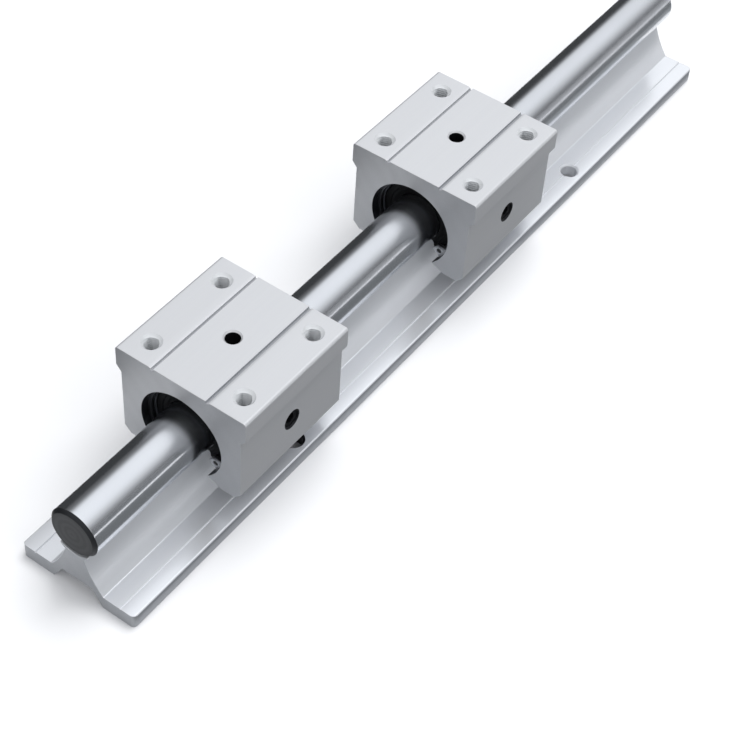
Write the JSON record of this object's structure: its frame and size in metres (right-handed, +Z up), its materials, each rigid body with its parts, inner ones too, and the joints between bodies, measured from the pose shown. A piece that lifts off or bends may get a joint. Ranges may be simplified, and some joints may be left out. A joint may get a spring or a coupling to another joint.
{
  "type": "supported round rail with open bearing carriages",
  "caption": "Ground round shaft on a drilled aluminium support rail, with open bearing blocks that slide along it",
  "frame": {"origin": "on the floor under the middle of the rail, at the centre of its underside", "axes": "+Y along the rail, +Z up, +X to the side that has the carriages' set screws"},
  "size_m": [0.045, 0.3, 0.045],
  "materials": {
    "ground_steel": "hardened and ground, bright",
    "extruded_aluminium": "satin anodised extrusion",
    "carriage_aluminium": "satin anodised extrusion with milled ends",
    "bearing_steel": "turned bearing steel",
    "cage_resin": "moulded resin",
    "seal_rubber": "moulded nitrile rubber",
    "black_oxide_steel": "black oxide"
  },
  "bodies": {
    "rail": {"shaft": "ground_steel", "rail_support": "extruded_aluminium", "shaft_screw_1": "black_oxide_steel", "shaft_screw_2": "black_oxide_steel"},
    "carriage_front": {"front_case": "carriage_aluminium", "front_bearing_shell": "bearing_steel", "front_ball_cage": "cage_resin", "front_end_seal_near": "seal_rubber", "front_end_seal_far": "seal_rubber", "front_set_screw": "black_oxide_steel"},
    "carriage_rear": {"rear_case": "carriage_aluminium", "rear_bearing_shell": "bearing_steel", "rear_ball_cage": "cage_resin", "rear_end_seal_near": "seal_rubber", "rear_end_seal_far": "seal_rubber", "rear_set_screw": "black_oxide_steel"}
  },
  "joints": [
    {"name": "front_slide", "type": "slide", "parent": "rail", "child": "carriage_front", "axis": [0, 1, 0], "range_m": [-0.0435, 0.031]},
    {"name": "rear_slide", "type": "slide", "parent": "rail", "child": "carriage_rear", "axis": [0, 1, 0], "range_m": [-0.031, 0.1035]}
  ]
}
